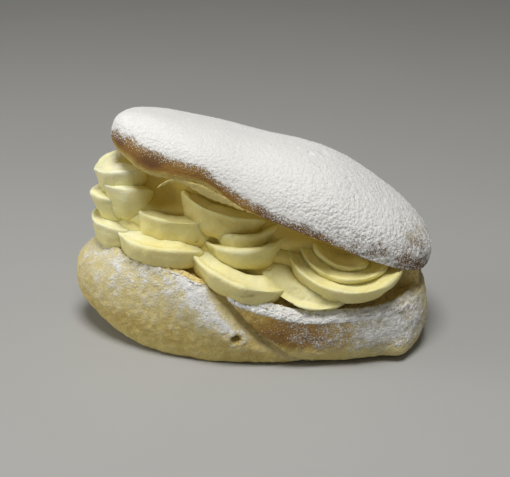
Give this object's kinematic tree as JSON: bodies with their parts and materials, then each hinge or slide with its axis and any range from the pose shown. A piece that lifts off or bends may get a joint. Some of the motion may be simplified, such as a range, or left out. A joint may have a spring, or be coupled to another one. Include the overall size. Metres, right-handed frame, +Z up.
{
  "type": "cream bun",
  "caption": "Long soft bread bun split open at one end, its lid dusted with fine sugar, filled with piped swirls of pale yellow cream.",
  "frame": {"origin": "on the resting plane, under the centre of the whole bun's bounding box", "axes": "+X along the bun's length to the end where lid and base are joined, -Y to the open front, +Z up"},
  "size_m": [0.1439, 0.0729, 0.0945],
  "materials": {
    "bread": "soft baked crust, pale below and browned at the edges, under fine sugar",
    "cream": "smooth piped cream with a faint sheen"
  },
  "bodies": {
    "root": {"bun": "bread", "cream": "cream"}
  },
  "joints": []
}
